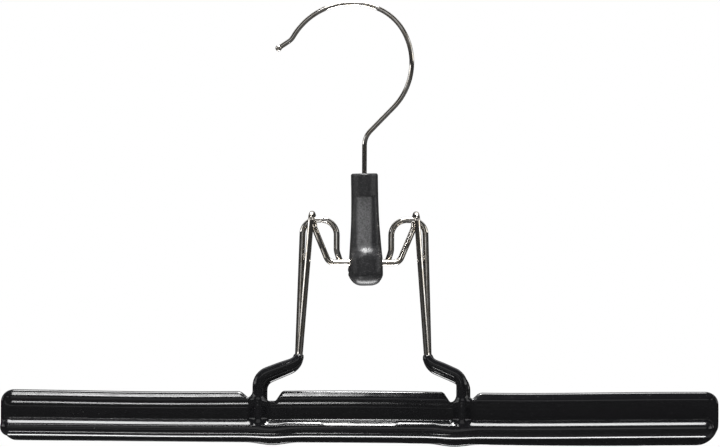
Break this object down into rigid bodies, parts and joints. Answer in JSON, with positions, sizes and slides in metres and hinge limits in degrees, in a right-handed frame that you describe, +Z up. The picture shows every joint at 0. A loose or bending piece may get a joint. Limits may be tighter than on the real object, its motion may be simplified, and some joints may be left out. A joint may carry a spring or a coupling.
{
  "type": "clamp hanger",
  "caption": "Trouser and skirt hanger: a swivelling wire hook in a flip lever that opens two wire frames with long coated clamp jaws.",
  "frame": {"origin": "underside of the crook straight above the hook's shank, where the hanger rests on its rail", "axes": "+Z up along the shank, +X along the jaws, -Y the front, which the thumb flat of the lever faces"},
  "size_m": [0.2996, 0.0136, 0.1846],
  "materials": {
    "nickel_wire": "bright nickel plating, drawn wire",
    "jaw_steel": "bare pressed sheet, hidden under the coating",
    "dipped_vinyl": "thick glossy dip coating",
    "lever_plastic": "satin, finely pebbled moulding"
  },
  "bodies": {
    "hook": {"hook_wire": "nickel_wire"},
    "lever": {"lever": "lever_plastic"},
    "front_frame": {"front_frame_wire": "nickel_wire", "front_jaw_strip": "jaw_steel", "front_jaw_coating": "dipped_vinyl"},
    "rear_frame": {"rear_frame_wire": "nickel_wire", "rear_jaw_strip": "jaw_steel", "rear_jaw_coating": "dipped_vinyl"}
  },
  "joints": [
    {"name": "hook_swivel", "type": "hinge", "parent": "hook", "child": "lever", "pos_m": [0, 0, -0.06956], "axis": [0, 0, 1], "continuous": true},
    {"name": "lever_flip", "type": "hinge", "parent": "lever", "child": "front_frame", "pos_m": [0, -0.002, -0.10686], "axis": [-1, 0, 0], "range_deg": [0, 90]},
    {"name": "jaw_open", "type": "hinge", "parent": "front_frame", "child": "rear_frame", "pos_m": [0, 0, -0.08946], "axis": [1, 0, 0], "range_deg": [0, 9.4]}
  ],
  "couplings": [
    {"joint": "jaw_open", "follows": "lever_flip", "ratio": 0.10444}
  ]
}
